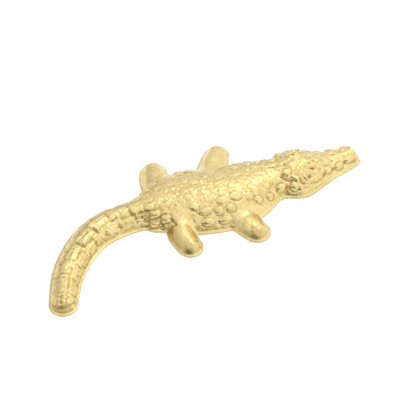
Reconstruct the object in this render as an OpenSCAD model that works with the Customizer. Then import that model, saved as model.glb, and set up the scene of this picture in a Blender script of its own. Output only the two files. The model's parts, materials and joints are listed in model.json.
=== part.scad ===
// Alligator hair clip: a struck sheet-brass alligator, hollow behind, with a sprung jaw clip
// carried on two cross bars inside the hollow. Millimetres, +Z up, the rim rests on Z = 0.
// The snout points along +X and the origin is under the middle of the outline.

/* [Alligator shell] */
// Thickness of the struck sheet
sheet_t = 0.5; // [0.4:0.05:0.6]
// Height of the upright rim below the domed sides
rim_h = 0.5; // [0.4:0.1:0.8]
// How full the back is: multiplies every crown height
crown_scale = 1.0; // [1:0.02:1.2]
// How square the cross section is: 2 is an ellipse-like dome, more is flatter on top
dome_power = 2.4; // [2.2:0.1:2.8]

/* [Clip arms] */
// Thickness of the stamped arms
arm_t = 0.55; // [0.45:0.05:0.6]
// Distance from the hinge to the tip of the jaw
jaw_len = 31; // [26:0.5:32]
// Distance from the hinge to the end of the thumb tab
tab_len = 10; // [8:0.5:10.5]
// Width of the jaw at its tip
jaw_tip_w = 4.6; // [4:0.2:5]
// Width across the outer ears of the upper arm
ears_w = 6.6; // [6.4:0.1:7]
// Underside of the lower arm above the rim plane
arm_lift = 0.2; // [0.1:0.05:0.3]
// Underside of the upper arm's flat above the rim plane
upper_z = 3.7; // [3.6:0.05:3.8]
// Ridges across the jaw tip
teeth = 6; // [4:1:7]

/* [Hinge and spring] */
// Radius of the hinge pin
pin_r = 0.5; // [0.4:0.05:0.55]
// Radial clearance of the pin in the moving ears
pin_fit = 0.05; // [0.03:0.01:0.08]
// Diameter of the spring wire
wire_d = 0.45; // [0.35:0.05:0.45]
// Mean radius of the spring coil
coil_r = 1.05; // [1:0.05:1.1]
// Whole turns of the spring coil
coil_turns = 4; // [3:1:5]

/* [Cross bars] */
// Thickness of the cross bars
bar_t = 0.6; // [0.4:0.1:0.7]
// Width of the cross bars along the clip
bar_w = 3; // [2.4:0.2:3.4]
// Radius of the solder fillets
solder_r = 0.38; // [0.35:0.01:0.4]

/* [Hidden] */
$fn = 48;
brass = "#d9bf6e";
steel = "#b9bcc2";

// Every outline below is laid out from the clip's own axis, which lies here from the origin.
axis_place = [1, 5, 0];

// Cross sections of the trunk from snout to tail: [x, y, half width, crown height].
trunk = [
    [47.0, 4.4, 3.1, 3.5],
    [44.5, 3.6, 4.1, 3.5],
    [38.0, 2.7, 5.6, 3.8],
    [35.0, 2.4, 6.8, 4.8],
    [28.5, 2.0, 9.2, 6.0],
    [21.5, 1.8, 7.8, 5.4],
    [15.0, 0.9, 10.5, 6.0],
    [6.0, -1.0, 11.8, 7.0],
    [-4.5, 0.8, 12.0, 6.8],
    [-14.0, 0.2, 7.8, 5.8],
    [-18.5, 0.0, 5.4, 5.0],
    [-28.0, -1.6, 5.4, 4.4],
    [-35.1, -6.4, 4.9, 3.9],
    [-41.1, -14.1, 4.4, 3.4],
    [-44.2, -20.8, 4.0, 3.1],
    [-45.6, -24.8, 3.9, 2.8]
];

// Cross sections of the four legs from inside the trunk to the foot.
legs = [
    [[7.0, -4.5, 4.0, 5.0], [8.5, -9.5, 4.2, 4.5], [10.0, -13.5, 4.1, 3.9], [11.0, -15.7, 3.8, 3.2]],
    [[-7.5, -4.0, 4.0, 4.9], [-8.3, -8.0, 3.9, 4.6], [-8.6, -11.5, 3.8, 4.1], [-7.8, -15.6, 3.5, 3.4]],
    [[4.0, 5.0, 3.8, 4.7], [6.0, 9.5, 4.0, 4.4], [9.1, 14.2, 4.0, 3.8], [10.2, 16.0, 3.6, 3.3]],
    [[-8.8, 4.5, 4.2, 4.9], [-9.6, 9.0, 4.3, 4.4], [-9.2, 12.7, 4.2, 3.9], [-8.8, 14.6, 3.9, 3.6]]
];

row_steps = 3;
trunk_cols = 12;
leg_cols = 8;
cap_angles = [20, 40, 58, 72, 83];
snout_wall = sheet_t / 2.5;

pivot_x = -5;
tip_x = pivot_x + jaw_len;
tab_x = pivot_x - tab_len;
upper_back_x = pivot_x - 7.5;
lower_top = arm_lift + arm_t;
pivot_z = (upper_z + lower_top) / 2;
tooth_h = 0.35;
jaw_gap = 0.15;
clamp_z = lower_top + tooth_h + jaw_gap;
clamp_x = tip_x - 8;
slope_x = clamp_x - 7.5;
inner_ear_w = ears_w - 2 * arm_t - 0.24;
ear_r = pivot_z - lower_top - 0.25;
bar_z = upper_z + arm_t;
front_bar_x = 7.5;
rear_bar_x = -10;
rivet_r = 0.5;
rivet_head_r = 0.85;
rivet_head_t = 0.3;
shank_fit = 0.02;
leg_wire_len = 6;

// A point on a smooth curve through a table's rows; u counts rows from 0.
function row_at(table, u) =
    let(
        last = len(table) - 1,
        i = min(max(floor(u), 0), last - 1),
        t = u - i,
        b = table[i],
        c = table[i + 1],
        a = i > 0 ? table[i - 1] : 2 * b - c,
        d = i + 2 <= last ? table[i + 2] : 2 * c - b
    )
    0.5 * (2 * b + (c - a) * t + (2 * a - 5 * b + 4 * c - d) * t * t + (3 * b - a - 3 * c + d) * pow(t, 3));

// Rows along a table from parameter u0, then a round cap past its last row.
function rows(table, u0, inset) =
    let(
        last = len(table) - 1,
        n = last * row_steps,
        end = row_at(table, last),
        before = row_at(table, last - 0.05),
        ahead = [end.x - before.x, end.y - before.y] / norm([end.x - before.x, end.y - before.y]),
        r = end[2] - inset
    )
    concat(
        [for (k = [0 : n])
            let(row = row_at(table, u0 + (last - u0) * k / n))
            [row.x, row.y, row[2] - inset, row[3] * crown_scale - inset]],
        [for (a = cap_angles)
            [end.x + ahead.x * r * sin(a), end.y + ahead.y * r * sin(a), r * cos(a),
             (end[3] * crown_scale - inset) * (0.35 + 0.65 * cos(a))]]
    );

// Unit vector to the left of the path at row k.
function left_of(path, k) =
    let(
        a = path[max(k - 1, 0)],
        b = path[min(k + 1, len(path) - 1)],
        d = [b.x - a.x, b.y - a.y]
    )
    [-d.y, d.x] / norm(d);

function dome_z(row, t) = rim_h + max(row[3] - rim_h, 0.05) * (1 - pow(abs(t), dome_power));

// One ring of a dome: the left foot, the arc over the crown, the right foot.
function dome_ring(row, left, cols, foot_z) =
    concat(
        [[row.x - left.x * row[2], row.y - left.y * row[2], foot_z]],
        [for (j = [0 : cols])
            let(t = sin(-90 + 180 * j / cols))
            [row.x + left.x * row[2] * t, row.y + left.y * row[2] * t, dome_z(row, t)]],
        [[row.x + left.x * row[2], row.y + left.y * row[2], foot_z]]
    );

// A closed solid dome that follows a table of cross sections.
module dome(table, cols, inset, u0, foot_z) {
    path = rows(table, u0, inset);
    n = len(path);
    m = cols + 3;
    points = [for (k = [0 : n - 1]) each dome_ring(path[k], left_of(path, k), cols, foot_z)];
    sides = [for (k = [0 : n - 2]) for (j = [0 : m - 1])
        let(a = k * m + j, b = k * m + (j + 1) % m)
        each [[a, b, a + m], [b, b + m, a + m]]];
    start = [[for (j = [0 : m - 1]) m - 1 - j]];
    finish = [[for (j = [0 : m - 1]) (n - 1) * m + j]];
    polyhedron(points, concat(sides, start, finish), convexity = 6);
}

module all_domes(inset, u0, foot_z) {
    dome(trunk, trunk_cols, inset, u0, foot_z);
    for (leg = legs) dome(leg, leg_cols, inset, 0, foot_z);
}

module alligator_shell() {
    color(brass)
        translate(axis_place)
            resize([0, 0, 0])
                difference() {
                    all_domes(0, 0, 0);
                    all_domes(sheet_t, snout_wall, -1);
                }
}

// Row of the trunk that lies at x on the clip's axis.
trunk_rows = [for (k = [(len(trunk) - 1) * 8 : -1 : 0]) row_at(trunk, k / 8)];
function mid_y(x) = lookup(x, [for (r = trunk_rows) [r.x, r.y]]);
function half_w(x) = lookup(x, [for (r = trunk_rows) [r.x, r[2] - sheet_t]]);
function crown(x) = lookup(x, [for (r = trunk_rows) [r.x, r[3] * crown_scale - sheet_t]]);
// Distance from the middle to the inner wall at height z.
function reach(x, z) = half_w(x) * pow(1 - (z - rim_h) / (crown(x) - rim_h), 1 / dome_power);

// A flat strip across the hollow, its ends cut to the slant of the flanks.
module cross_bar(x) {
    top = bar_z + bar_t;
    gap = 0.3;
    x0 = x - bar_w / 2;
    x1 = x + bar_w / 2;
    color(brass)
        translate(axis_place)
            difference() {
                translate([0, 0, bar_z])
                    linear_extrude(bar_t)
                        polygon([
                            [x0, mid_y(x0) - reach(x0, top) + gap],
                            [x1, mid_y(x1) - reach(x1, top) + gap],
                            [x1, mid_y(x1) + reach(x1, top) - gap],
                            [x0, mid_y(x0) + reach(x0, top) - gap]
                        ]);
                rivet_hole(x);
            }
}

module rivet_hole(x) {
    translate([x, 0, 0]) cylinder(h = 8, r = rivet_r + shank_fit);
}

module front_bridge() {
    cross_bar(front_bar_x);
}

module rear_bridge() {
    cross_bar(rear_bar_x);
}

// Fillet of solder along one end of a cross bar; side is 1 or -1.
module solder_fillet(x, side) {
    inset = 0.1;
    hull()
        for (end = [-1, 1]) {
            ex = x + end * (bar_w / 2 - solder_r);
            ey = mid_y(ex) + side * (reach(ex, bar_z + bar_t) - inset);
            translate([ex, ey, bar_z + solder_r + 0.04]) sphere(r = solder_r, $fn = 24);
        }
}

module solder_beads() {
    color(steel)
        translate(axis_place)
            for (x = [front_bar_x, rear_bar_x])
                for (side = [-1, 1])
                    solder_fillet(x, side);
}

module rivet(x) {
    translate([x, 0, upper_z - rivet_head_t]) cylinder(h = rivet_head_t, r = rivet_head_r);
    translate([x, 0, upper_z - rivet_head_t]) cylinder(h = arm_t + bar_t + 2 * rivet_head_t, r = rivet_r);
    translate([x, 0, bar_z + bar_t]) cylinder(h = rivet_head_t, r = rivet_head_r);
}

module rivets() {
    color(brass)
        translate(axis_place)
            for (x = [front_bar_x, rear_bar_x]) rivet(x);
}

// A bent sheet: a side outline in X and Z made w wide across Y.
module bent_sheet(outline, w) {
    rotate([90, 0, 0])
        translate([0, 0, -w / 2])
            linear_extrude(w)
                polygon(outline);
}

// Plan of an arm: w0 wide at the back, tapering from x1 to a rounded jaw tip.
module arm_plan(x0, w0, x1) {
    r = jaw_tip_w / 2;
    translate([0, 0, -1])
        linear_extrude(8)
            union() {
                translate([x0, -w0 / 2]) square([x1 - x0, w0]);
                polygon([[x1, -w0 / 2], [tip_x - r, -r], [tip_x - r, r], [x1, w0 / 2]]);
                translate([tip_x - r, 0]) circle(r = r);
            }
}

// A pair of upright ears of one sheet thickness whose outer faces are w apart, reaching to z.
module ears(w, r, z) {
    for (side = [-1, 1])
        translate([pivot_x, side * (w - arm_t) / 2, 0])
            rotate([90, 0, 0])
                translate([0, 0, -arm_t / 2])
                    linear_extrude(arm_t)
                        union() {
                            translate([0, pivot_z]) circle(r = r);
                            translate([-r, min(z, pivot_z)]) square([2 * r, abs(z - pivot_z)]);
                        }
}

module pin_hole(r) {
    translate([pivot_x, 0, pivot_z]) rotate([90, 0, 0]) cylinder(h = 20, r = r, center = true);
}

module upper_arm() {
    color(steel)
        translate(axis_place)
            difference() {
                union() {
                    intersection() {
                        bent_sheet([
                            [upper_back_x, upper_z],
                            [slope_x, upper_z],
                            [clamp_x, clamp_z],
                            [tip_x, clamp_z],
                            [tip_x, clamp_z + arm_t],
                            [clamp_x, clamp_z + arm_t],
                            [slope_x, upper_z + arm_t],
                            [upper_back_x, upper_z + arm_t]
                        ], ears_w);
                        arm_plan(upper_back_x, ears_w, slope_x);
                    }
                    ears(ears_w, ear_r, upper_z + arm_t / 2);
                }
                pin_hole(pin_r + shank_fit);
                rivet_hole(front_bar_x);
                rivet_hole(rear_bar_x);
            }
}

// Ridges across the jaw tip that meet the upper arm.
module jaw_teeth() {
    pitch = 1.1;
    for (k = [0 : teeth - 1])
        translate([tip_x - 2 - k * pitch, 0, lower_top])
            bent_sheet([[-0.45, -0.1], [0.45, -0.1], [0, tooth_h]], jaw_tip_w - 0.4);
}

module lower_arm() {
    color(steel)
        translate(axis_place)
            difference() {
                union() {
                    intersection() {
                        bent_sheet([
                            [tab_x, arm_lift],
                            [tip_x, arm_lift],
                            [tip_x, lower_top],
                            [tab_x, lower_top]
                        ], inner_ear_w);
                        arm_plan(tab_x, inner_ear_w, slope_x);
                    }
                    ears(inner_ear_w, ear_r, arm_lift + arm_t / 2);
                    jaw_teeth();
                }
                pin_hole(pin_r + pin_fit);
            }
}

module hinge_pin() {
    head_t = 0.35;
    color(steel)
        translate(axis_place)
            translate([pivot_x, 0, pivot_z])
                rotate([90, 0, 0]) {
                    cylinder(h = ears_w + 0.1, r = pin_r, center = true);
                    for (side = [-1, 1])
                        translate([0, 0, side * (ears_w + 0.1 + head_t) / 2])
                            cylinder(h = head_t, r = pin_r + 0.35, center = true);
                }
}

// Centre line of the spring: lower leg, coil about the pin, upper leg, seen from the hinge.
coil_steps = 20;
coil_pitch = wire_d + 0.15;
coil_w = coil_turns * coil_pitch;
leg_rise = 0.3 * (upper_z - pivot_z - coil_r - wire_d / 2);
spring_path = concat(
    [[-leg_wire_len, -coil_w / 2, -coil_r - leg_rise], [-leg_wire_len / 2, -coil_w / 2, -coil_r]],
    [for (k = [0 : (coil_turns + 0.5) * coil_steps])
        let(a = -90 + 360 * k / coil_steps)
        [coil_r * cos(a), -coil_w / 2 + coil_w * k / ((coil_turns + 0.5) * coil_steps), coil_r * sin(a)]],
    [[-leg_wire_len / 2, coil_w / 2, coil_r], [-leg_wire_len, coil_w / 2, coil_r + leg_rise]]
);

// Sweeps a round wire along a path with rings square to it.
module wire(path, d) {
    sides = 8;
    n = len(path);
    function unit(v) = v / norm(v);
    function ahead(k) = unit(path[min(k + 1, n - 1)] - path[max(k - 1, 0)]);
    points = [for (k = [0 : n - 1])
        let(t = ahead(k), e = unit(cross(t, [0, 1, 0])), f = cross(t, e))
        each [for (j = [0 : sides - 1]) path[k] + d / 2 * (e * cos(360 * j / sides) + f * sin(360 * j / sides))]];
    quads = [for (k = [0 : n - 2]) for (j = [0 : sides - 1])
        let(a = k * sides + j, b = k * sides + (j + 1) % sides)
        each [[a, a + sides, b], [b, a + sides, b + sides]]];
    ends = [[for (j = [0 : sides - 1]) j], [for (j = [0 : sides - 1]) n * sides - 1 - j]];
    polyhedron(points, concat(quads, ends), convexity = 8);
}

module torsion_spring() {
    color(steel)
        translate(axis_place + [pivot_x, 0, pivot_z])
            wire(spring_path, wire_d);
}

alligator_shell();
front_bridge();
rear_bridge();
solder_beads();
rivets();
upper_arm();
lower_arm();
hinge_pin();
torsion_spring();
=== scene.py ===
"""Looks of the alligator hair clip: a struck raw-brass shell and the sprung clip in its hollow."""
import json
import math

import bmesh
import bpy
import numpy as np
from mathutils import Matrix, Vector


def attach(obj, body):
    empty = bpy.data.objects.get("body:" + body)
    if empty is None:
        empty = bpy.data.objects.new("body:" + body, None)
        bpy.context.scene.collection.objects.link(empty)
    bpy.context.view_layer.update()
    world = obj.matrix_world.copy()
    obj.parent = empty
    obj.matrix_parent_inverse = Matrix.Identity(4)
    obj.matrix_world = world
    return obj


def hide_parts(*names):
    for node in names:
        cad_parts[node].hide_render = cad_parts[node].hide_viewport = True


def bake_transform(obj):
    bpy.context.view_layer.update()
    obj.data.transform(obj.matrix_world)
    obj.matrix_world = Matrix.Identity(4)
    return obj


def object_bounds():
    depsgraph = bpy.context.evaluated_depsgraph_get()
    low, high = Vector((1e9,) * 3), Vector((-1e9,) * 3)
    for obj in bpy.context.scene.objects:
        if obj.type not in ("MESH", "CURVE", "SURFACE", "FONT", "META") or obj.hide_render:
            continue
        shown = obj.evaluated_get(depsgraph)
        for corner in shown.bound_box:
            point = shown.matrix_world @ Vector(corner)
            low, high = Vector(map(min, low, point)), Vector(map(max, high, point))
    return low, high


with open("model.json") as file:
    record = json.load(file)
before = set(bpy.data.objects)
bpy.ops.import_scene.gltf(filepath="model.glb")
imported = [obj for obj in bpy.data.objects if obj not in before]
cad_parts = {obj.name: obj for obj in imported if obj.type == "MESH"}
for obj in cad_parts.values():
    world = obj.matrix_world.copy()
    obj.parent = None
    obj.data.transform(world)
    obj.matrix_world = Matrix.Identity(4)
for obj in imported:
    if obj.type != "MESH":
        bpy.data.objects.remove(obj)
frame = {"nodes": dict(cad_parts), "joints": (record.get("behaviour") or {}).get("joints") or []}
cad_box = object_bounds()

# The shell is laid out in mm in plan, from a point on the clip's long axis, with the snout toward +X.
MM = 0.001
AXIS_PLACE = (1.0, 5.0)       # that point, from the frame's origin
SHEET = 0.5                   # thickness of the struck sheet
RIM = 0.5                     # height of the upright rim
LEDGE = 0.25                  # width of the narrow flange round the outline
TAIL_LEDGE = 0.35             # its width along the tail
TAIL_FROM = 62.0              # distance along the trunk's line from the snout to where the tail begins
TAIL_TIP = 108.0              # and to where its last plate ends
DOME_POWER = 2.4              # how flat the trunk and the legs are on top
SNOUT_POWER = 2.6             # how steeply the snout's end rises
SNOUT_CORNER = 0.7            # rounding of its two corners in plan
OUTLINE_BLEND = 0.9           # rounding where a leg leaves the trunk, in plan
HEIGHT_BLEND = 2.2            # and over the top
DEEPEST = -0.55               # deepest stamped line
GRID = 0.21                   # spacing of the shell's mesh in plan
SLOPE_STEP = 0.05             # step over which the surface's slope is measured

# Cross sections of the trunk from snout to tail: x, y, half width, crown height.
TRUNK = np.array([
    [47.0, 4.4, 3.1, 3.5],
    [44.5, 3.6, 4.1, 3.5],
    [38.0, 2.7, 5.6, 3.8],
    [35.0, 2.4, 6.8, 4.8],
    [28.5, 2.0, 9.2, 6.0],
    [21.5, 1.8, 7.8, 5.4],
    [15.0, 0.9, 10.5, 6.0],
    [6.0, -1.0, 11.8, 7.0],
    [-4.5, 0.8, 12.0, 6.8],
    [-14.0, 0.2, 7.8, 5.8],
    [-18.5, 0.0, 5.4, 5.0],
    [-28.0, -1.6, 5.4, 4.4],
    [-35.1, -6.4, 4.9, 3.9],
    [-41.1, -14.1, 4.4, 3.4],
    [-44.2, -20.8, 4.0, 3.1],
    [-45.6, -24.8, 3.9, 2.8],
])

# The same for the legs, from inside the trunk to the foot: right front, right hind, left front, left hind.
LEGS = np.array([
    [[7.0, -4.5, 4.0, 3.3], [8.5, -9.5, 4.2, 3.2], [10.0, -13.5, 4.1, 3.1], [11.0, -15.7, 3.8, 2.8]],
    [[-7.5, -4.0, 4.0, 3.6], [-8.3, -8.0, 3.9, 3.5], [-8.6, -11.5, 3.8, 3.3], [-7.8, -15.6, 3.5, 2.9]],
    [[4.0, 5.0, 3.8, 4.7], [6.0, 9.5, 4.0, 4.4], [9.1, 14.2, 4.0, 3.8], [10.2, 16.0, 3.6, 3.3]],
    [[-8.8, 4.5, 4.2, 4.9], [-9.6, 9.0, 4.3, 4.4], [-9.2, 12.7, 4.2, 3.9], [-8.8, 14.6, 3.9, 3.6]],
])


# ---------------------------------------------------------------- smooth plan of the shell
def smooth_rows(table, per_row):
    """Rows on a smooth curve through a table's rows, per_row of them from one row to the next."""
    t = np.vstack([2 * table[0] - table[1], table, 2 * table[-1] - table[-2]])
    last = len(table) - 1
    u = np.linspace(0, last, last * per_row + 1)
    i = np.minimum(u.astype(int), last - 1)
    f = (u - i)[:, None]
    a, b, c, d = t[i], t[i + 1], t[i + 2], t[i + 3]
    squared = (2 * a - 5 * b + 4 * c - d) * f ** 2
    cubed = (3 * b - a - 3 * c + d) * f ** 3
    return 0.5 * (2 * b + (c - a) * f + squared + cubed)


def smooth_max(a, b, k):
    """The larger of a and b, blended where they differ by less than k."""
    h = np.clip(0.5 + 0.5 * (a - b) / k, 0, 1)
    return b + (a - b) * h + k * h * (1 - h)


class Strip:
    """A dome that follows a curved centre line. A blunt one is cut off straight at its first row."""

    def __init__(self, table, blunt):
        self.rows = smooth_rows(table, 40)
        self.blunt = blunt
        step = np.gradient(self.rows[:, :2], axis=0)
        length = np.linalg.norm(step, axis=1)
        self.ahead = step / length[:, None]
        self.left = np.stack([-self.ahead[:, 1], self.ahead[:, 0]], 1)
        gaps = np.linalg.norm(np.diff(self.rows[:, :2], axis=0), axis=1)
        self.arc = np.concatenate([[0], np.cumsum(gaps)])
        self.slope = np.gradient(self.rows[:, 2:], axis=0) / length[:, None]

    def nearest_row(self, xy):
        """Index of the row nearest to each plan point, worked out in chunks to save memory."""
        near = np.empty(len(xy), int)
        chunk = 20000
        for k in range(0, len(xy), chunk):
            part = xy[k:k + chunk]
            near[k:k + chunk] = ((part[:, None, :] - self.rows[None, :, :2]) ** 2).sum(2).argmin(1)
        return near

    def at(self, xy):
        """Distance inside the outline, dome height, place along the line and across it (1 is the edge)."""
        near = self.nearest_row(xy)
        d = xy - self.rows[near, :2]
        along = (d * self.ahead[near]).sum(1)
        across = (d * self.left[near]).sum(1)
        last = near == len(self.rows) - 1
        first = near == 0
        beyond = (last & (along > 0)) | (first & (along < 0) & (not self.blunt))
        width = self.rows[near, 2] + np.where(beyond, 0, self.slope[near, 0] * along)
        crown = self.rows[near, 3] + np.where(beyond, 0, self.slope[near, 1] * along)
        off = np.where(beyond, np.hypot(along, across), np.abs(across))
        inside = width - off
        arc = self.arc[near] + along
        ledge = LEDGE
        if self.blunt:
            ledge = LEDGE + (TAIL_LEDGE - LEDGE) * np.clip((arc - TAIL_FROM) / 8, 0, 1)
        t = off / np.maximum(width - ledge, 0.1)
        height = RIM + (crown - RIM) * (1 - t ** DOME_POWER)
        if self.blunt:
            inside = -smooth_max(-inside, -arc, SNOUT_CORNER)
            face = np.clip((arc - LEDGE) / 0.8, -0.3, 1)
            height = RIM + (height - RIM) * np.where(face > 0, 1 - (1 - face) ** SNOUT_POWER, 3 * face)
        return inside, height, arc, across / np.maximum(width, 0.1)


TRUNK_STRIP = Strip(TRUNK, True)
LEG_STRIPS = [Strip(leg, False) for leg in LEGS]


def plan(xy):
    """Distance inside the whole outline, smooth height, arc along the trunk, place across it, leg share."""
    inside, height, arc, across = TRUNK_STRIP.at(xy)
    trunk_height = height
    for strip in LEG_STRIPS:
        leg_inside, leg_height, _, _ = strip.at(xy)
        inside = smooth_max(inside, leg_inside, OUTLINE_BLEND)
        height = smooth_max(height, leg_height, HEIGHT_BLEND)
    leg_share = np.clip((height - trunk_height - 0.5) / 0.6, 0, 1)
    roll = np.clip(inside / LEDGE, 0, 2)
    flange = RIM + 0.1 * (1 - (roll - 1) ** 2)
    height = smooth_max(height, flange, 0.12)
    edge = np.clip(inside / 0.12, 0, 1)
    return inside, RIM + (height - RIM) * edge, arc, across, leg_share


# ---------------------------------------------------------------- struck relief
def bump_shape(q, undercut):
    """A flat-topped dome of unit height and radius in a moat, which is deeper where undercut is 1."""
    dome = np.clip(1 - q ** 3, 0, None) ** 0.75
    moat = (0.25 + 0.3 * undercut) * np.exp(-((q - 1.1) / 0.15) ** 2)
    return dome - moat


class Relief:
    """Height of the struck detail over the smooth dome, along its normal."""

    def __init__(self, points):
        self.points = points
        self.raised = np.zeros(len(points))
        self.cut = np.zeros(len(points))
        # How much of a ring is left at each point: it is rubbed away in patches.
        self.worn = np.clip(0.65 + 0.6 * waves(points, np.random.default_rng(3), 2.4, 8), 0.05, 1.3)

    def place(self, x, y):
        """The surface point nearest to a plan position."""
        d = (self.points[:, 0] - x) ** 2 + (self.points[:, 1] - y) ** 2
        return self.points[d.argmin()]

    def distance(self, x, y, stretch=1.0, turn=0.0, square=2.0):
        """Distance from the surface point over (x, y): round for square 2, squarish above it."""
        d = self.points - self.place(x, y)
        c, s = math.cos(math.radians(turn)), math.sin(math.radians(turn))
        a = np.abs(d[:, 0] * c + d[:, 1] * s) / stretch
        b = np.sqrt((d[:, 1] * c - d[:, 0] * s) ** 2 + d[:, 2] ** 2)
        return (a ** square + b ** square) ** (1 / square)

    def line_distance(self, ends):
        """Distance from the line through the surface points over ends."""
        best = np.full(len(self.points), 1e9)
        for (x0, y0), (x1, y1) in zip(ends[:-1], ends[1:]):
            a, b = self.place(x0, y0), self.place(x1, y1)
            t = np.clip(((self.points - a) @ (b - a)) / ((b - a) @ (b - a)), 0, 1)
            best = np.minimum(best, np.linalg.norm(self.points - a - t[:, None] * (b - a), axis=1))
        return best

    def bump(self, x, y, radius, height, stretch=1.0, turn=0.0, square=2.0, down=0):
        """A bump; down is -1 or 1 where its lower side faces -Y or +Y and is undercut."""
        q = self.distance(x, y, stretch, turn, square) / radius
        dx, dy = self.points[:, 0] - x, self.points[:, 1] - y
        under = np.clip(down * dy / np.maximum(np.hypot(dx, dy), 0.01), 0, 1)
        shape = bump_shape(q, under)
        self.raised = np.maximum(self.raised, height * np.maximum(shape, 0))
        self.cut = np.maximum(self.cut, -height * np.minimum(shape, 0))

    def ring(self, x, y, radius, width, height, stretch=1.0, turn=0.0):
        """A raised ring."""
        q = self.distance(x, y, stretch, turn)
        self.raised = self.raised + height * self.worn * np.exp(-((q - radius) / width) ** 2)

    def pit(self, x, y, radius, depth, stretch=1.0, turn=0.0):
        """A small hollow."""
        q = self.distance(x, y, stretch, turn) / radius
        self.cut = self.cut + depth * np.exp(-q ** 2)

    def groove(self, ends, width, depth):
        """A line struck into the surface."""
        self.cut = self.cut + depth * np.exp(-(self.line_distance(ends) / width) ** 2)

    def ridge(self, ends, width, height):
        """A raised line."""
        self.raised = self.raised + height * np.exp(-(self.line_distance(ends) / width) ** 2)


# Bumps on the right flank (toward -Y) and neck: x, y, radius, height, stretch.
RIGHT_FLANK = [
    (-3.6, -6.0, 1.2, 0.24, 1.10), (-1.0, -7.8, 1.0, 0.34, 1.85), (3.8, -6.4, 1.1, 0.22, 1.20),
    (8.2, -5.9, 1.4, 0.32, 1.30), (12.0, -6.4, 1.1, 0.20, 1.20), (1.0, -5.2, 1.1, 0.10, 1.40),
    (2.6, -8.6, 1.15, 0.40, 1.10), (5.9, -8.8, 1.25, 0.46, 1.10),
    (-1.2, -10.2, 1.0, 0.36, 1.75), (3.6, -10.9, 1.0, 0.36, 1.85),
    (14.7, -7.2, 1.10, 0.40, 1.20), (18.4, -6.1, 1.05, 0.42, 1.25), (14.4, -4.6, 1.1, 0.20, 1.20),
    (18.2, -3.6, 1.0, 0.30, 1.20), (22.1, -4.1, 1.20, 0.60, 1.15), (11.4, -3.4, 1.1, 0.12, 1.10),
]
# Their mates on the left side.
LEFT_FLANK = [
    (-3.4, 7.6, 1.3, 0.30, 1.10), (-0.6, 8.8, 1.3, 0.42, 1.40), (1.0, 6.4, 1.2, 0.25, 1.10),
    (-3.0, 10.2, 1.1, 0.42, 1.30), (0.4, 11.0, 1.1, 0.42, 1.40), (11.4, 5.4, 1.3, 0.28, 1.10),
    (13.2, 7.6, 1.2, 0.40, 1.20), (16.4, 8.3, 1.15, 0.40, 1.25), (15.4, 5.8, 1.2, 0.30, 1.10),
    (18.6, 6.0, 1.2, 0.42, 1.10), (20.8, 7.4, 1.05, 0.42, 1.30), (22.4, 5.2, 1.2, 0.40, 1.20),
]
# Squarish scales of the right hip and the tail's root. Those on the left are their mirror images.
HIP_SCALES = [
    (-14.1, -4.3, 1.1, 0.50, 1.30), (-17.3, -4.0, 1.0, 0.50, 1.25), (-11.6, -6.0, 1.0, 0.45, 1.30),
    (-14.8, -6.0, 0.8, 0.45, 1.50), (-12.4, -7.3, 0.6, 0.35, 1.40), (-18.0, -5.1, 0.6, 0.35, 1.60),
    (-11.2, -3.2, 1.1, 0.20, 1.10), (-15.2, -1.9, 1.2, 0.22, 1.20), (-18.0, -1.6, 1.1, 0.25, 1.20),
]
HIP_MIDDLE = 0.3                          # y of the line that mirrors them
# Lines between the scales of the right flank and hip, and in the fold of the hind leg: points, width, depth.
FLANK_LINES = [
    ([(-4.6, -6.2), (-2.8, -8.3)], 0.2, 0.18),
    ([(-10.9, -6.4), (-10.2, -7.2), (-9.7, -8.6)], 0.4, 0.35),
    ([(-19.6, -3.4), (-17.9, -3.4), (-16.4, -4.4), (-13.4, -5.2)], 0.30, 0.35),
    ([(-16.4, -5.2), (-14.6, -6.4), (-12.2, -7.2)], 0.25, 0.35),
]


# Small pits on the back, and low bumps on top of the snout: x, y.
BACK_PITS = [(-10.6, 4.1), (-8.5, -3.8), (11.2, 0.7), (-6.8, 2.5), (-14.6, 1.3), (-4.0, 2.0), (1.8, -0.6)]
SNOUT_TOP = [(34.8, 1.2), (37.4, 1.6), (40.6, 2.2), (36.2, 3.8), (39.4, 4.4), (43.4, 2.6), (43.6, 4.9)]


def back(relief, rng):
    """Low worn bumps over the back and neck, in staggered columns along the trunk, and small pits."""
    for column in range(-2, 4):
        for k in range(15):
            x = -13.0 + 2.5 * k + 1.25 * (column % 2) + rng.uniform(-0.8, 0.8)
            y = -0.6 + 2.1 * column + rng.uniform(-0.6, 0.6)
            height = rng.uniform(0.03, 0.13)
            relief.bump(x, y, rng.uniform(0.7, 1.15), height, rng.uniform(0.9, 1.5), rng.uniform(-60, 60))
    for x, y in BACK_PITS:
        relief.pit(x, y, 0.35, 0.14, 1.6, rng.uniform(-40, 40))
    relief.groove([(-11.4, -3.5), (-10.0, -3.9)], 0.25, 0.18)


EYE_RINGS = [(0.95, 0.30), (1.9, 0.32), (2.7, 0.20), (3.4, 0.13)]      # radius and height


def eye(relief, x, y, turn, strength):
    """A raised eye with a crumpled middle, in wide rings whose heights are multiplied by strength."""
    relief.raised += 0.5 * np.exp(-(relief.distance(x, y, 1.25, turn) / 2.1) ** 2)
    for radius, height in EYE_RINGS:
        relief.ring(x, y, radius, 0.22, strength * height, 1.2, turn)
    relief.pit(x - 0.6, y - 0.8, 0.46, 0.80)
    relief.pit(x + 0.9, y + 1.2, 0.38, 0.75, 1.8, turn)
    relief.pit(x + 0.3, y + 0.1, 0.25, 0.35)
    relief.pit(x + 1.0, y - 0.3, 0.25, 0.3)
    relief.ridge([(x - 0.2, y - 0.4), (x + 0.5, y + 0.5)], 0.2, 0.25)


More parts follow.
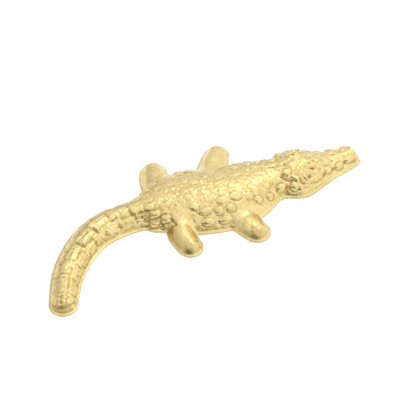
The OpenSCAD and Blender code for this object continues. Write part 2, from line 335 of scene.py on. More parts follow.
def snout(relief):
    """Bumps along both sides with pits and lines between them, and low bumps on top."""
    for x, y, radius, height, stretch in (
        (34.2, -1.0, 0.7, 0.15, 1.3), (37.1, -1.4, 1.0, 0.40, 1.35), (40.6, -0.5, 1.0, 0.40, 1.4),
        (44.4, 0.9, 1.0, 0.28, 1.7),
    ):
        relief.bump(x, y, radius, height, stretch, 16, 2, -1)
    for x, y, radius, height, stretch in (
        (33.4, 6.6, 1.0, 0.30, 1.3), (36.6, 7.0, 1.0, 0.40, 1.25), (40.2, 6.9, 1.0, 0.45, 1.3),
        (44.4, 6.6, 1.0, 0.35, 1.4),
    ):
        relief.bump(x, y, radius, height, stretch, -2, 2, 1)
    relief.bump(46.0, 5.0, 1.0, 0.15, 1.2)
    relief.pit(35.5, -2.6, 0.5, 0.55)
    relief.groove([(38.9, -1.2), (40.2, -1.4), (41.4, -1.0)], 0.25, 0.22)
    relief.pit(38.8, -1.1, 0.4, 0.4)
    relief.groove([(42.7, 0.2), (44.4, 0.3), (46.6, 1.0)], 0.28, 0.25)
    relief.pit(42.7, 0.3, 0.45, 0.5)
    relief.pit(38.4, 7.3, 0.4, 0.4)
    relief.pit(42.2, 7.4, 0.4, 0.4)
    relief.pit(39.0, 1.0, 0.4, 0.3)
    relief.pit(42.2, 3.9, 0.4, 0.3)
    for x, y in SNOUT_TOP:
        relief.bump(x, y, 0.85, 0.12, 1.4, 8)


def head(relief):
    """Eyes, snout, cheeks, the lines round them, the jaw's edge and small marks on the crown."""
    eye(relief, 31.2, -2.7, 12, 1.1)
    eye(relief, 28.8, 5.1, -12, 1.5)
    snout(relief)
    relief.bump(25.7, -4.8, 1.45, 0.50, 1.0, 10, 1.3, -1)
    relief.bump(25.4, 7.9, 1.15, 0.60, 1.1, 0, 2, 1)
    relief.bump(24.4, -1.0, 1.2, 0.30, 1.3, -30)
    relief.ridge([(25.9, -2.6), (26.8, -3.4), (27.2, -5.2)], 0.4, 0.35)
    relief.groove([(23.1, -1.8), (23.9, -2.8), (24.9, -3.4), (25.6, -3.4)], 0.35, 0.45)
    relief.groove([(23.2, -1.5), (23.9, -1.4), (24.2, -2.2)], 0.2, 0.3)
    relief.groove([(27.6, -4.0), (28.5, -4.9)], 0.28, 0.45)
    relief.groove([(28.5, -4.9), (31.0, -4.8), (33.6, -4.2), (35.4, -2.8)], 0.25, 0.18)
    relief.groove([(22.4, 6.6), (24.0, 6.4), (26.0, 7.0)], 0.3, 0.4)
    relief.groove([(26.4, 8.4), (29.0, 9.0), (32.0, 8.0), (35.0, 6.4)], 0.25, 0.22)
    relief.bump(31.7, 1.3, 1.0, 0.16, 1.8)
    relief.bump(27.0, 1.0, 1.2, 0.14, 1.3)
    for x, y in ((22.2, 0.6), (22.0, 3.4), (19.6, 1.6), (26.2, 3.6)):
        relief.ring(x, y, 1.2, 0.28, 0.14)
    relief.groove([(20.9, 2.0), (22.0, 1.8)], 0.25, 0.28)
    relief.pit(24.9, 1.5, 0.42, 0.3)
    relief.pit(23.7, -0.5, 0.35, 0.28)
    relief.ridge([(25.0, -6.0), (28.5, -6.1), (32.0, -5.1), (36.0, -3.3), (40.0, -1.7)], 0.3, 0.18)


# Columns of worn plates on the tail. The column's first side at the tail's root and at its tip, and the
# same for its other side (1 is the tail's right edge); then where the first plate ends along the trunk's
# line, the plates' length and their height.
TAIL_COLUMNS = [
    (-0.80, -0.84, -0.24, -0.42, 66.6, 4.6, 0.30),
    (-0.24, -0.42, 0.50, 0.22, 68.3, 6.1, 0.40),
    (0.50, 0.22, 0.80, 0.84, 67.5, 5.2, 0.36),
]
MOST_PLATES = 20                          # more than any column has
# Cuts and creases left at the plates' corners and edges, and round the tail's end: points, width, depth.
TAIL_CUTS = [
    ([(-20.6, -1.3), (-20.1, -2.8)], 0.35, 0.45),
    ([(-25.9, -3.0), (-24.6, -2.3)], 0.35, 0.38),
    ([(-31.4, -4.1), (-30.9, -4.9), (-30.4, -5.6)], 0.32, 0.50),
    ([(-37.3, -7.5), (-36.3, -8.6), (-35.2, -9.2)], 0.28, 0.42),
    ([(-37.3, -7.5), (-35.4, -6.3), (-33.4, -5.0)], 0.22, 0.20),
    ([(-34.9, -9.0), (-33.0, -7.6), (-31.2, -6.3)], 0.22, 0.16),
    ([(-44.0, -16.2), (-43.0, -16.9), (-41.8, -17.3)], 0.25, 0.40),
    ([(-46.6, -22.3), (-45.6, -22.7), (-44.4, -22.5)], 0.22, 0.22),
    ([(-24.6, -4.4), (-23.9, -4.5)], 0.3, 0.30),
    ([(-28.2, -5.8), (-27.6, -5.7)], 0.3, 0.40),
    ([(-31.8, -7.7), (-31.3, -8.2)], 0.3, 0.32),
    ([(-34.3, -10.5), (-34.0, -11.3)], 0.28, 0.38),
    ([(-37.6, -14.6), (-36.7, -14.4)], 0.25, 0.30),
    ([(-39.6, -17.4), (-38.8, -17.3)], 0.25, 0.24),
    ([(-40.8, -20.3), (-40.2, -20.0)], 0.28, 0.34),
    ([(-42.3, -23.9), (-41.6, -23.9)], 0.28, 0.28),
    ([(-43.4, -10.8), (-42.8, -11.4)], 0.3, 0.40),
    ([(-46.1, -14.8), (-45.4, -15.3)], 0.3, 0.36),
    ([(-48.5, -25.2), (-47.5, -26.7), (-46.0, -27.3), (-44.4, -27.0), (-43.0, -25.8)], 0.28, 0.32),
]


def tail_plates(relief, arc, across, rng):
    """Columns of worn plates, each tipped its own way with one or two keels, and long creases over them."""
    s = np.clip((arc - TAIL_FROM) / (TAIL_TIP - TAIL_FROM), 0, 1)
    share = np.clip((arc - TAIL_FROM) / 5, 0, 1) * np.clip((TAIL_TIP - arc) / 1.5, 0, 1)
    plate = np.zeros(len(arc))
    for low0, low1, high0, high1, first, length, height in TAIL_COLUMNS:
        low, high = low0 + (low1 - low0) * s, high0 + (high1 - high0) * s
        v = (across - low) / (high - low)
        inside = (v > 0) & (v < 1)
        turn = (arc + rng.uniform(-0.6, 0.6) * (v - 0.5) - first) / length
        number = np.clip(np.floor(turn).astype(int) + 4, 0, MOST_PLATES - 1)
        u = turn % 1
        lean = rng.uniform(-1, 1, MOST_PLATES)
        tip = rng.uniform(-0.2, 0.9, MOST_PLATES)
        keel_at = rng.uniform(0.25, 0.75, MOST_PLATES)
        side = np.clip(1 - np.abs(2 * v - 1) ** 5, 0, 1)
        ends = np.clip((1 - u) * length / 0.45, 0, 1) * np.clip(u * length / 0.4, 0, 1)
        slant = 0.55 + 0.9 * lean[number] * (v - 0.5) + tip[number] * (u - 0.5)
        keel = np.exp(-((v - keel_at[number] - 0.15 * (u - 0.5)) / 0.1) ** 2) * np.sin(math.pi * u)
        second = np.exp(-((v - keel_at[number] + 0.32) / 0.07) ** 2) * np.sin(math.pi * u) ** 2
        shape = side * ends * (height * slant + 0.12 * keel + 0.09 * second)
        plate = np.where(inside, shape, plate)
    drawn = np.column_stack([arc / 3, 4.4 * across, np.zeros(len(arc))])
    folds = 0.06 * creases(drawn, rng, 2.4, 0.2) + 0.03 * creases(drawn, rng, 1.3, 0.25)
    lift = 0.035 * waves(drawn, rng, 1.8, 12)
    relief.raised = relief.raised * (1 - share) + share * (plate + lift)
    relief.cut = relief.cut * (1 - share) + share * folds
    relief.pit(-46.6, -25.8, 0.35, 0.45)
    relief.bump(-42.0, -24.9, 0.7, 0.25, 1.3, 60)


def waves(points, rng, length, count):
    """Smooth seeded unevenness, mostly between -1.5 and 1.5: count waves of about the given length."""
    total = np.zeros(len(points))
    for _ in range(count):
        way = rng.normal(size=3)
        k = 2 * math.pi / (length * rng.uniform(0.7, 1.5)) / np.linalg.norm(way)
        total += np.sin(points @ way * k + rng.uniform(0, 2 * math.pi))
    return total / math.sqrt(count)


def creases(points, rng, length, width):
    """Fine seeded crease lines, 1 along each line and falling to 0 beside it."""
    return np.exp(-(waves(points, rng, length, 12) / width) ** 2)


def scales(relief):
    """Bumps of both flanks and the squarish scales of both hips."""
    for bump in RIGHT_FLANK:
        relief.bump(*bump, down=-1)
    for bump in LEFT_FLANK:
        relief.bump(*bump, down=1)
    for x, y, radius, height, stretch in HIP_SCALES:
        relief.bump(x, y, radius, height, stretch, -12, 4, -1)
        relief.bump(x, 2 * HIP_MIDDLE - y, radius, height, stretch, 12, 4, 1)


# Creases of the back: length, width, depth. Waves of the sheet: length, count, height on the legs and how
# much higher they are elsewhere.
BACK_CREASES = [(2.4, 0.20, 0.045), (1.3, 0.25, 0.015)]
SHEET_WAVES = [(2.6, 12, 0.030, 0.0), (1.3, 16, 0.012, 0.020), (0.75, 20, 0.010, 0.014)]
FOLD_AT = 0.75                            # how far inside the outline the sheet folds up from its flange
BELLY_AT = 1.0                            # x of the middle of the plainer bands beside the flanks' edges
BELLY_HALF = 6.5                          # half their length
BELLY_WIDE = 3.0                          # how far inside the outline they reach
TOE = (9.6, -14.6)                        # middle of the striations on the right front foot
TOE_REACH = 2.0
TOE_DRAWN = (1.0, 0.35, 1.0)              # they run along Y


def sheet_finish(total, points, inside, leg_share, rng):
    """The relief with creases, a fold along the edge, waves in the sheet and striations on a toe."""
    belly = np.exp(-((points[:, 0] - BELLY_AT) / BELLY_HALF) ** 4)
    belly *= np.clip((BELLY_WIDE - inside) / 1.6, 0, 1)
    total = np.where(total < 0, total * (1 - 0.9 * belly), total)
    rough = (1 - leg_share) * (1 - 0.8 * belly)
    open_back = rough * np.clip((inside - 1.5) / 2.0, 0, 1)
    for length, width, depth in BACK_CREASES:
        total -= depth * open_back * creases(points, rng, length, width)
    for length, count, height, more in SHEET_WAVES:
        total += (height + more * rough) * waves(points, rng, length, count)
    total -= 0.03 * rough * np.exp(-((inside - FOLD_AT) / 0.2) ** 2)
    total -= 0.04 * leg_share * np.exp(-((inside - FOLD_AT) / 0.25) ** 2)
    toe = np.exp(-((points[:, 0] - TOE[0]) ** 2 + (points[:, 1] - TOE[1]) ** 2) / TOE_REACH ** 2)
    total -= 0.09 * toe * creases(points * TOE_DRAWN, rng, 1.6, 0.35)
    return total


def struck_relief(points, inside, arc, across, leg_share):
    """Height of the struck detail over the smooth surface. It fades out at the edge."""
    rng = np.random.default_rng(7)
    relief = Relief(points)
    back(relief, rng)
    scales(relief)
    tail_plates(relief, arc, across, rng)
    head(relief)
    relief.raised *= 1 - leg_share
    relief.cut *= 1 - leg_share
    for ends, width, depth in FLANK_LINES + TAIL_CUTS:
        relief.groove(ends, width, depth)
    total = sheet_finish(relief.raised - relief.cut, points, inside, leg_share, rng)
    return np.clip(total, DEEPEST, 2) * np.clip((inside - 0.3) / 0.4, 0, 1)


# Painted shade in the folds at the ends of the right feet and the tail, in the hip and at the left hind
# leg: x, y, reach, strength.
DARK_FOLDS = [
    (-8.4, -17.8, 2.6, 0.65), (9.9, -17.8, 2.6, 0.75), (-45.8, -27.4, 3.4, 1.0),
    (-17.2, -3.2, 2.2, 0.50), (-14.0, -4.7, 1.6, 0.50), (-10.4, -7.4, 1.2, 0.35),
    (-9.6, 13.0, 2.4, 0.25), (-10.6, 9.5, 2.0, 0.20),
]


def fold_tone(xy, inside, arc):
    """Painted shade in the folds, and an even darkening along the tail."""
    tone = 0.26 * np.clip((arc - TAIL_FROM) / 8, 0, 1) * np.clip((100 - arc) / 8, 0, 1)
    for x, y, reach, strength in DARK_FOLDS:
        near = np.exp(-(((xy[:, 0] - x) ** 2 + (xy[:, 1] - y) ** 2) / reach ** 2))
        tone = np.maximum(tone, strength * near)
    return tone * np.clip((inside - 0.2) / 0.3, 0, 1)


# ---------------------------------------------------------------- the shell's mesh
def clipped_grid(low, high):
    """Plan points and faces of a square grid, cut off at the outline."""
    xs = np.arange(low[0], high[0], GRID)
    ys = np.arange(low[1], high[1], GRID)
    gx, gy = np.meshgrid(xs, ys, indexing="ij")
    nodes = np.stack([gx.ravel(), gy.ravel()], 1)
    value = plan(nodes)[0].reshape(gx.shape)
    # A grid point close to the outline counts as on it, so that no sliver is left beside it.
    value[np.abs(value) < 0.25 * GRID] = 0
    verts, faces, index = [], [], {}

    def corner(i, j):
        """Index of the vertex at a grid point."""
        key = (i, j)
        if key not in index:
            index[key] = len(verts)
            verts.append((xs[i], ys[j]))
        return index[key]

    def crossing(a, b):
        """Index of the vertex where the outline crosses a grid line."""
        key = (min(a, b), max(a, b))
        if key not in index:
            va, vb = value[a], value[b]
            t = va / (va - vb)
            index[key] = len(verts)
            verts.append((xs[a[0]] + t * (xs[b[0]] - xs[a[0]]), ys[a[1]] + t * (ys[b[1]] - ys[a[1]])))
        return index[key]

    hit = np.maximum.reduce([value[:-1, :-1], value[1:, :-1], value[1:, 1:], value[:-1, 1:]]) > 0
    for i, j in zip(*np.nonzero(hit)):
        ring = [(i, j), (i + 1, j), (i + 1, j + 1), (i, j + 1)]
        face = []
        for a, b in zip(ring, ring[1:] + ring[:1]):
            if value[a] >= 0:
                face.append(corner(*a))
            if value[a] * value[b] < 0:
                face.append(crossing(a, b))
        if len(face) > 2:
            faces.append(face)
    return np.array(verts), faces


def face_edges(faces):
    """Every face's directed edges, in order."""
    return [edge for face in faces for edge in zip(face, face[1:] + face[:1])]


def border_edges(faces):
    """Directed edges that only one face uses."""
    used = dict.fromkeys(face_edges(faces))
    return [(a, b) for a, b in used if (b, a) not in used]


def surface(xy):
    """Smooth surface points and unit normals over plan points, and the rest of what plan gives."""
    h = SLOPE_STEP
    inside, z, arc, across, leg_share = plan(xy)
    zx = (plan(xy + [h, 0])[1] - plan(xy - [h, 0])[1]) / (2 * h)
    zy = (plan(xy + [0, h])[1] - plan(xy - [0, h])[1]) / (2 * h)
    n = np.stack([-zx, -zy, np.ones(len(xy))], 1)
    n /= np.linalg.norm(n, axis=1)[:, None]
    return np.column_stack([xy, z]), n, inside, arc, across, leg_share


TONE_ROUNDS = 14                          # how widely a point's surroundings are averaged
TONE_DEPTH = 0.16                         # depth below them that counts as a full hollow


def hollow_shade(relief, faces):
    """How far each point lies below its surroundings: 1 in a moat or pit, negative on a raised top. It
    becomes painted shade in the moats and pits.
    """
    start, end = np.array(face_edges(faces)).T
    size = len(relief)
    count = np.bincount(start, minlength=size) + np.bincount(end, minlength=size)
    around = relief
    for _ in range(TONE_ROUNDS):
        total = np.bincount(start, around[end], size) + np.bincount(end, around[start], size)
        around = total / np.maximum(count, 1)
    return np.clip((around - relief) / TONE_DEPTH, -1, 1)


UNDERSIDE_RELIEF = 0.45                   # how much of the relief shows through on the underside
UNDERSIDE_LOWEST = 0.05                   # height that the underside doesn't go below
RIM_TONE = 0.25                           # how much the rim is darkened, evenly all round


def rim(faces, outer, inner):
    """The upright rim: its lower points under the outer and inner edges, and its faces."""
    border = border_edges(faces)
    edge = sorted({v for pair in border for v in pair})
    n = len(outer)
    foot = {v: 2 * n + k for k, v in enumerate(edge)}
    heel = {v: 2 * n + len(edge) + k for k, v in enumerate(edge)}
    points = np.vstack([outer[edge], inner[edge]]) * [1, 1, 0]
    quads = []
    for a, b in border:
        quads.append([b, a, foot[a], foot[b]])
        quads.append([foot[b], foot[a], heel[a], heel[b]])
        quads.append([heel[b], heel[a], n + a, n + b])
    return points, quads


def shell_mesh():
    """The struck sheet as a closed mesh: outer side, underside and rim, with its painted shade and darker
    tones as "hollow".
    """
    low = np.array(cad_box[0][:2]) / MM - AXIS_PLACE - 1.0
    high = np.array(cad_box[1][:2]) / MM - AXIS_PLACE + 1.0
    xy, faces = clipped_grid(low, high)
    base, normal, inside, arc, across, leg_share = surface(xy)
    relief = struck_relief(base, inside, arc, across, leg_share)
    outer = base + normal * relief[:, None]
    inner = base - normal * (SHEET - UNDERSIDE_RELIEF * relief)[:, None]
    inner[:, 2] = np.maximum(inner[:, 2], UNDERSIDE_LOWEST)
    rim_points, rim_faces = rim(faces, outer, inner)
    points = np.vstack([outer, inner, rim_points])
    points[:, :2] += AXIS_PLACE
    underside = [[len(xy) + v for v in reversed(face)] for face in faces]
    # Painted shade: the outer side gets the hollows' and folds' painted shade, the underside an even
    # darkening plus the hollows' painted shade, the rim an even darkening.
    hollow = np.clip(hollow_shade(relief, faces) + fold_tone(xy, inside, arc), -1, 1)
    tone = [hollow, 0.3 + 0.4 * np.clip(hollow, 0, 1), np.full(len(rim_points), RIM_TONE)]
    mesh = bpy.data.meshes.new("struck_shell")
    mesh.from_pydata((points * MM).tolist(), [], faces + underside + rim_faces)
    attribute = mesh.attributes.new("hollow", "FLOAT", "POINT")
    attribute.data.foreach_set("value", np.concatenate(tone).astype(np.float32))
    mesh.validate()
    mesh.polygons.foreach_set("use_smooth", [True] * len(mesh.polygons))
    return mesh


def new_object(name, mesh, material):
    """An object in the scene."""
    obj = bpy.data.objects.new(name, mesh)
    bpy.context.scene.collection.objects.link(obj)
    mesh.materials.append(material)
    return obj


# ---------------------------------------------------------------- materials
def principled(name, colour, metallic, roughness):
    """A new material and its shader."""
    material = bpy.data.materials.new(name)
    material.use_nodes = True
    nodes = material.node_tree.nodes
    shader = nodes["Principled BSDF"]
    shader.inputs["Base Color"].default_value = (*colour, 1)
    shader.inputs["Metallic"].default_value = metallic
    shader.inputs["Roughness"].default_value = roughness
    return material, shader


def add_noise(material, scale, detail, rough=0.5):
    """Noise over the object's own coordinates."""
    nodes = material.node_tree.nodes
    place = nodes.new("ShaderNodeTexCoord")
    noise = nodes.new("ShaderNodeTexNoise")
    noise.inputs["Scale"].default_value = scale
    noise.inputs["Detail"].default_value = detail
    noise.inputs["Roughness"].default_value = rough
    material.node_tree.links.new(place.outputs["Object"], noise.inputs["Vector"])
    return noise


def two_tone(material, source, dark, light):
    """A colour that goes from dark to light as the source goes from 0.35 to 0.65."""
    node = material.node_tree.nodes.new("ShaderNodeValToRGB")
    for element, position, colour in zip(node.color_ramp.elements, (0.35, 0.65), (dark, light)):
        element.position = position
        element.color = (*colour, 1)
    material.node_tree.links.new(source, node.inputs["Fac"])
    return node.outputs["Color"]


def mixed(tree, factor, under, over):
    """A colour that goes from the output under to the fixed colour over as the factor goes from 0 to 1."""
    node = tree.nodes.new("ShaderNodeMix")
    node.data_type = "RGBA"
    node.inputs["B"].default_value = (*over, 1)
    tree.links.new(factor, node.inputs["Factor"])
    tree.links.new(under, node.inputs["A"])
    return node.outputs["Result"]


def level(material, source, low, high, out_low, out_high):
    """The source, with low to high stretched to out_low to out_high."""
    node = material.node_tree.nodes.new("ShaderNodeMapRange")
    node.inputs["From Min"].default_value = low
    node.inputs["From Max"].default_value = high
    node.inputs["To Min"].default_value = out_low
    node.inputs["To Max"].default_value = out_high
    material.node_tree.links.new(source, node.inputs["Value"])
    return node.outputs["Result"]


def add_bump(material, shader, source, strength, distance):
    """A bumpy normal on the shader; distance in metres."""
    node = material.node_tree.nodes.new("ShaderNodeBump")
    node.inputs["Strength"].default_value = strength
    node.inputs["Distance"].default_value = distance
    material.node_tree.links.new(source, node.inputs["Height"])
    material.node_tree.links.new(node.outputs["Normal"], shader.inputs["Normal"])


def metal(name, light, dark, roughness, blotch, grain, depth):
    """A metal with cloudy tone, uneven roughness and a fine grain."""
    material, shader = principled(name, light, 1.0, roughness)
    links = material.node_tree.links
    cloud = add_noise(material, blotch, 4)
    links.new(two_tone(material, cloud.outputs["Fac"], dark, light), shader.inputs["Base Color"])
    rough = level(material, cloud.outputs["Fac"], 0.3, 0.7, roughness + 0.06, roughness - 0.06)
    links.new(rough, shader.inputs["Roughness"])
    fine = add_noise(material, grain, 6, 0.6)
    add_bump(material, shader, fine.outputs["Fac"], 0.35, depth)
    return material


RAW_BRASS = (0.86, 0.69, 0.33)            # one tone for the whole, where the nodes below aren't used
PALE_BRASS = (0.88, 0.72, 0.35)           # the clouds' two tones
DEEP_BRASS = (0.78, 0.61, 0.26)
SPECK_BRASS = (0.56, 0.43, 0.16)
SHADE_BRASS = (0.30, 0.21, 0.06)          # painted shade in the hollows and folds; it also darkens the rim, underside and tail


def struck_brass():
    """Raw brass: pale and cloudy, with fine darker specks, painted shade that makes it brown in the hollows
    and folds, and a fine grain.
    """
    material, shader = principled("raw_brass", RAW_BRASS, 1.0, 0.28)
    tree = material.node_tree
    cloud = add_noise(material, 300, 5, 0.6)
    tone = two_tone(material, cloud.outputs["Fac"], DEEP_BRASS, PALE_BRASS)
    speck = add_noise(material, 1300, 3, 0.6)
    specked = mixed(tree, level(material, speck.outputs["Fac"], 0.42, 0.72, 0.0, 0.45), tone, SPECK_BRASS)
    # Painted shade: the "hollow" attribute mixes the brass toward brown in the hollows and folds.
    hollow = tree.nodes.new("ShaderNodeAttribute")
    hollow.attribute_name = "hollow"
    shaded = mixed(tree, level(material, hollow.outputs["Fac"], 0.1, 1.0, 0.0, 0.65), specked, SHADE_BRASS)
    tree.links.new(shaded, shader.inputs["Base Color"])
    rough = level(material, cloud.outputs["Fac"], 0.3, 0.7, 0.27, 0.16)
    tree.links.new(rough, shader.inputs["Roughness"])
    grain = add_noise(material, 2200, 4, 0.65)
    add_bump(material, shader, grain.outputs["Fac"], 0.5, 0.00007)
    return material


raw_brass = struck_brass()
strip_brass = metal("strip_brass", (0.80, 0.63, 0.30), (0.70, 0.54, 0.25), 0.42, 300, 2200, 0.00002)
rivet_brass = metal("rivet_brass", (0.86, 0.70, 0.36), (0.74, 0.58, 0.28), 0.30, 500, 2500, 0.00002)
solder = metal("solder", (0.66, 0.66, 0.65), (0.52, 0.52, 0.51), 0.38, 900, 3000, 0.00003)
clip_steel = metal("clip_steel", (0.56, 0.57, 0.59), (0.44, 0.45, 0.47), 0.28, 250, 2500, 0.00002)
pin_steel = metal("pin_steel", (0.52, 0.52, 0.54), (0.42, 0.42, 0.44), 0.32, 700, 2500, 0.00002)
spring_steel = metal("spring_steel", (0.42, 0.42, 0.44), (0.30, 0.30, 0.32), 0.30, 700, 3000, 0.00001)

NODE_MATERIALS = {
    "front_bridge": strip_brass,
    "rear_bridge": strip_brass,
    "rivets": rivet_brass,
    "solder_beads": solder,
    "upper_arm": clip_steel,
    "lower_arm": clip_steel,
    "hinge_pin": pin_steel,
    "torsion_spring": spring_steel,
}
for node, material in NODE_MATERIALS.items():
    mesh = frame["nodes"][node].data
    if mesh.materials:
        mesh.materials[0] = material
    else:
        mesh.materials.append(material)

shell = new_object("struck_shell", shell_mesh(), raw_brass)
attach(shell, "ornament")
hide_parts("alligator_shell")

# ---------------------------------------------------------------- spring
HINGE = np.array(frame["joints"][0]["pos_m"]) / MM      # middle of the pin, mm
WIRE = 0.45                               # thickness of the spring wire
WIRE_SIDES = 16
COIL = 1.05                               # mean radius of its coil
COIL_TURNS = 4.5
COIL_HALF = 1.2                           # half its width along the pin
LEG_REACH = 6.0                           # how far its legs reach toward the thumb tab
LEG_RISE = 0.06                           # how far they spread on the way


def spring_path():
    """Centre line of the wire: lower leg, coil round the pin, upper leg."""
    turns = np.linspace(0, COIL_TURNS, 181)
    angle = -math.pi / 2 + 2 * math.pi * turns
    along = COIL_HALF * (2 * turns / COIL_TURNS - 1)
    coil = np.stack([COIL * np.cos(angle), along, COIL * np.sin(angle)], 1)
    reach = np.linspace(1, 0.1, 12)[:, None]
    low = reach * [-LEG_REACH, 0, -LEG_RISE] + [0, -COIL_HALF, -COIL]
    high = reach[::-1] * [-LEG_REACH, 0, LEG_RISE] + [0, COIL_HALF, COIL]
    return np.vstack([low, coil, high]) + HINGE


def rounded_end(point, inward, side, up, radius):
    """Rings of a wire's rounded end, from the tip inward: centre, two directions and radius."""
    rings = []
    for k in (3, 2, 1):
        ring, out = math.cos(k * math.pi / 8), math.sin(k * math.pi / 8)
        rings.append((point + inward * radius * (1 - out) * 0.6, side, up, radius * ring))
    return rings


def wire_rings(path, radius):
    """Rings of a round wire swept along a path."""
    ahead = np.gradient(path, axis=0)
    ahead /= np.linalg.norm(ahead, axis=1)[:, None]
    side = np.cross(ahead, [0, 1, 0])
    side /= np.linalg.norm(side, axis=1)[:, None]
    up = np.cross(side, ahead)
    start = rounded_end(path[0], ahead[0], side[0], up[0], radius)
    middle = [(path[k], side[k], up[k], radius) for k in range(1, len(path) - 1)]
    end = rounded_end(path[-1], -ahead[-1], side[-1], up[-1], radius)
    return start + middle + end[::-1]


def wire_mesh(name, path, radius):
    """A round wire swept along a path, with rounded ends."""
    rings = wire_rings(path, radius)
    points = []
    for centre, side, up, r in rings:
        for j in range(WIRE_SIDES):
            a = 2 * math.pi * j / WIRE_SIDES
            points.append(centre + r * (math.cos(a) * side + math.sin(a) * up))
    faces = [list(range(WIRE_SIDES))]
    for k in range(len(rings) - 1):
        for j in range(WIRE_SIDES):
            a, b = k * WIRE_SIDES + j, k * WIRE_SIDES + (j + 1) % WIRE_SIDES
            faces.append([a, a + WIRE_SIDES, b + WIRE_SIDES, b])
    faces.append([len(points) - 1 - j for j in range(WIRE_SIDES)])
    mesh = bpy.data.meshes.new(name)
    mesh.from_pydata((np.array(points) * MM).tolist(), [], faces)
    shape = bmesh.new()
    shape.from_mesh(mesh)
    bmesh.ops.recalc_face_normals(shape, faces=shape.faces)
    shape.to_mesh(mesh)
    shape.free()
    mesh.polygons.foreach_set("use_smooth", [True] * len(mesh.polygons))
    return mesh


spring = new_object("spring_wire", wire_mesh("spring_wire", spring_path(), WIRE / 2), spring_steel)
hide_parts("torsion_spring")
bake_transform(spring)

# ---------------------------------------------------------------- floor, light and camera
FLOOR_HALF = 2.0                          # half the floor's width, m
FLOOR_ALPHA = 0.3                         # part-transparent, so that the opened jaw below it can be seen


def pale_floor():
    """A plain white table at the height of the rim's lower edge."""
    material, shader = principled("floor", (0.9, 0.9, 0.9), 0.0, 0.9)
    shader.inputs["Emission Color"].default_value = (1, 1, 1, 1)
    shader.inputs["Emission Strength"].default_value = 0.4
    shader.inputs["Alpha"].default_value = FLOOR_ALPHA
    mesh = bpy.data.meshes.new("floor")
    corners = [(-FLOOR_HALF, -FLOOR_HALF, 0), (FLOOR_HALF, -FLOOR_HALF, 0)]
    corners += [(FLOOR_HALF, FLOOR_HALF, 0), (-FLOOR_HALF, FLOOR_HALF, 0)]
    mesh.from_pydata(corners, [], [(0, 1, 2, 3)])
    return new_object("floor", mesh, material)


floor = pale_floor()


def softbox(name, place, size, power):
    """A square lamp that faces the object."""
    data = bpy.data.lights.new(name, "AREA")
    data.shape = "SQUARE"
    data.size = size
    data.energy = power
    lamp = bpy.data.objects.new(name, data)
    lamp.location = place
    back = np.array(place) / np.linalg.norm(place)
    lamp.rotation_euler = (math.acos(back[2]), 0, math.atan2(back[1], back[0]) + math.pi / 2)
    bpy.context.scene.collection.objects.link(lamp)


softbox("key", (0.35, 0.3, 0.8), 0.5, 0.5)

CAMERA_TURN = math.radians(-18.4)         # turn of the camera's place about Z, from -Y
CAMERA_RISE = math.radians(45)            # its height above the table as an angle
CAMERA_FAR = 0.52                         # its distance, m
CAMERA_LENS = 163.8                       # mm, on a sensor 36 mm wide
AIM_RIGHT = 0.0022                        # where it looks, from the clip's axis, m
AIM_DOWN = 0.00137
GAP_TURN = math.radians(-33)              # direction of the gap in the tent
GAP_COLOUR = (0.17, 0.15, 0.09)
TABLE_GLOW = (0.98, 0.98, 0.96)           # what the table reflects up
TENT_DIM = 0.70                           # the tent's brightness at its dim and bright ends
TENT_BRIGHT = 1.16
UP = (0, 0, 1)


def world_mask(tree, place, toward, low, high, start, end):
    """A smooth step from start to end as the direction's share of toward goes from low to high."""
    dot = tree.nodes.new("ShaderNodeVectorMath")
    dot.operation = "DOT_PRODUCT"
    dot.inputs[1].default_value = toward
    tree.links.new(place.outputs["Generated"], dot.inputs[0])
    step = tree.nodes.new("ShaderNodeMapRange")
    step.interpolation_type = "SMOOTHSTEP"
    for name, value in (("From Min", low), ("From Max", high), ("To Min", start), ("To Max", end)):
        step.inputs[name].default_value = value
    tree.links.new(dot.outputs["Value"], step.inputs["Value"])
    return step.outputs["Result"]


def product(tree, a, b):
    """Two outputs multiplied."""
    node = tree.nodes.new("ShaderNodeMath")
    node.operation = "MULTIPLY"
    tree.links.new(a, node.inputs[0])
    tree.links.new(b, node.inputs[1])
    return node.outputs["Value"]


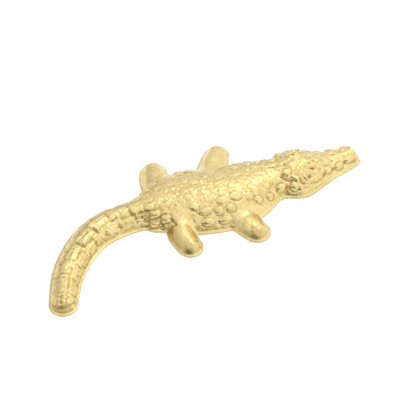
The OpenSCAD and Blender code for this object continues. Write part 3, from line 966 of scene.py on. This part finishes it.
def studio_world():
    """A white tent, brighter overhead and on the right, with a dark gap behind the camera, on its left.

    Below the horizon is the table's glow. The camera itself sees plain white.
    """
    world = bpy.data.worlds.new("studio")
    world.use_nodes = True
    bpy.context.scene.world = world
    tree = world.node_tree
    place = tree.nodes.new("ShaderNodeTexCoord")
    bright = (0.75 * math.cos(CAMERA_TURN), 0.75 * math.sin(CAMERA_TURN), 0.66)
    tent = world_mask(tree, place, bright, -0.8, 1.0, TENT_DIM, TENT_BRIGHT)
    toward_gap = (math.sin(GAP_TURN), -math.cos(GAP_TURN), 0)
    side = world_mask(tree, place, toward_gap, 0.45, 0.95, 0, 1)
    under = world_mask(tree, place, UP, 0.45, 0.78, 1, 0)
    over = world_mask(tree, place, UP, 0.0, 0.35, 0, 1)
    gap = product(tree, side, product(tree, under, over))
    below = world_mask(tree, place, UP, -0.15, 0.1, 1, 0)
    room = mixed(tree, gap, mixed(tree, below, tent, TABLE_GLOW), GAP_COLOUR)
    path = tree.nodes.new("ShaderNodeLightPath")
    seen = mixed(tree, path.outputs["Is Camera Ray"], room, (1, 1, 1))
    tree.links.new(seen, tree.nodes["Background"].inputs["Color"])


def add_camera():
    """The scene's camera, on the alligator's right side and turned a little toward its tail."""
    right = np.array([math.cos(CAMERA_TURN), math.sin(CAMERA_TURN), 0])
    back = np.array([
        math.sin(CAMERA_TURN) * math.cos(CAMERA_RISE),
        -math.cos(CAMERA_TURN) * math.cos(CAMERA_RISE),
        math.sin(CAMERA_RISE),
    ])
    above = np.cross(back, right)
    aim = np.array([*AXIS_PLACE, 0]) * MM + AIM_RIGHT * right - AIM_DOWN * above
    data = bpy.data.cameras.new("camera")
    data.sensor_width = 36
    data.lens = CAMERA_LENS
    camera = bpy.data.objects.new("camera", data)
    camera.location = aim + CAMERA_FAR * back
    camera.rotation_euler = (math.pi / 2 - CAMERA_RISE, 0, CAMERA_TURN)
    bpy.context.scene.collection.objects.link(camera)
    bpy.context.scene.camera = camera


studio_world()
add_camera()
bpy.context.scene.view_settings.view_transform = "Standard"
